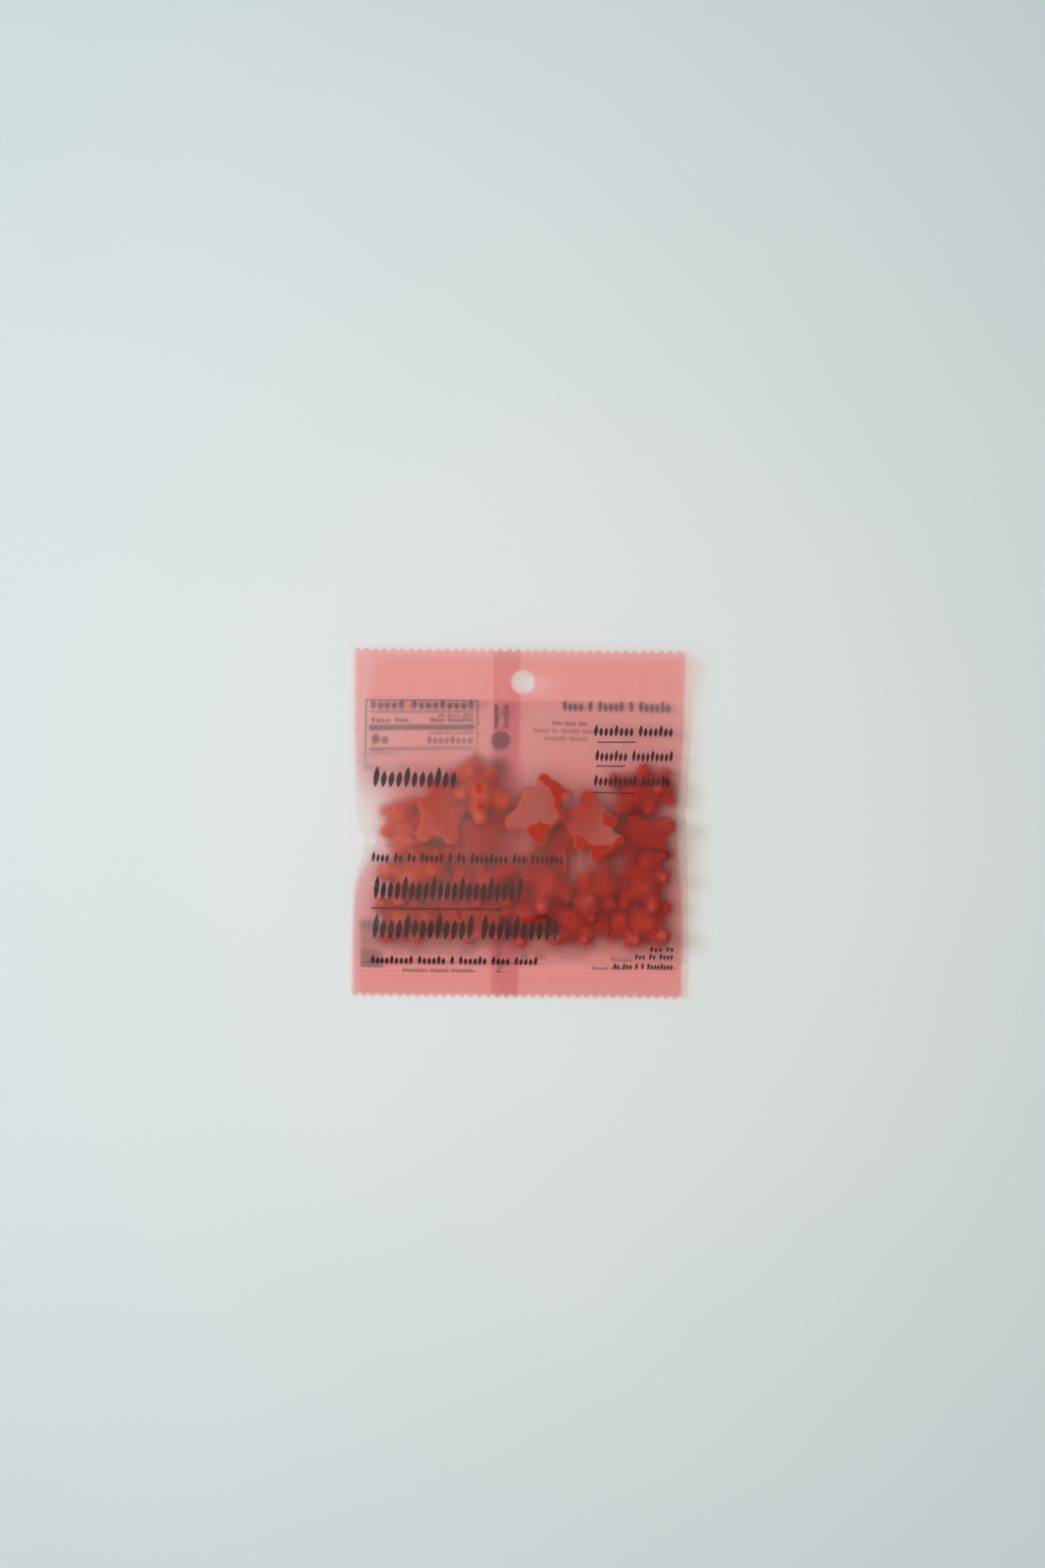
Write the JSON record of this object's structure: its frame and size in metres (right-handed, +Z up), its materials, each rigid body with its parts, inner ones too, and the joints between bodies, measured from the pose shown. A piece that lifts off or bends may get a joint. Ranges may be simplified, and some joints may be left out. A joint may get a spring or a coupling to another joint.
{
  "type": "bag of gummy bears",
  "caption": "Small flat pillow bag of frosted pink film with gummy bears inside, saw-tooth sealed ends, a hang hole in the header and a ribbed lower seal.",
  "frame": {"origin": "on the surface that the bag lies on, under the middle of the bag", "axes": "+Y towards the header with the hang hole, +X to the right as the printed front is read, +Z up out of the printed front"},
  "size_m": [0.1206, 0.1244, 0.0148],
  "materials": {
    "film": "thin frosted translucent plastic film, printed pink, satin",
    "gummy": "translucent red jelly with a damp shine",
    "ink": "dark brown printing ink on the film"
  },
  "bodies": {
    "root": {"gummy_bag": "film"}
  },
  "joints": []
}
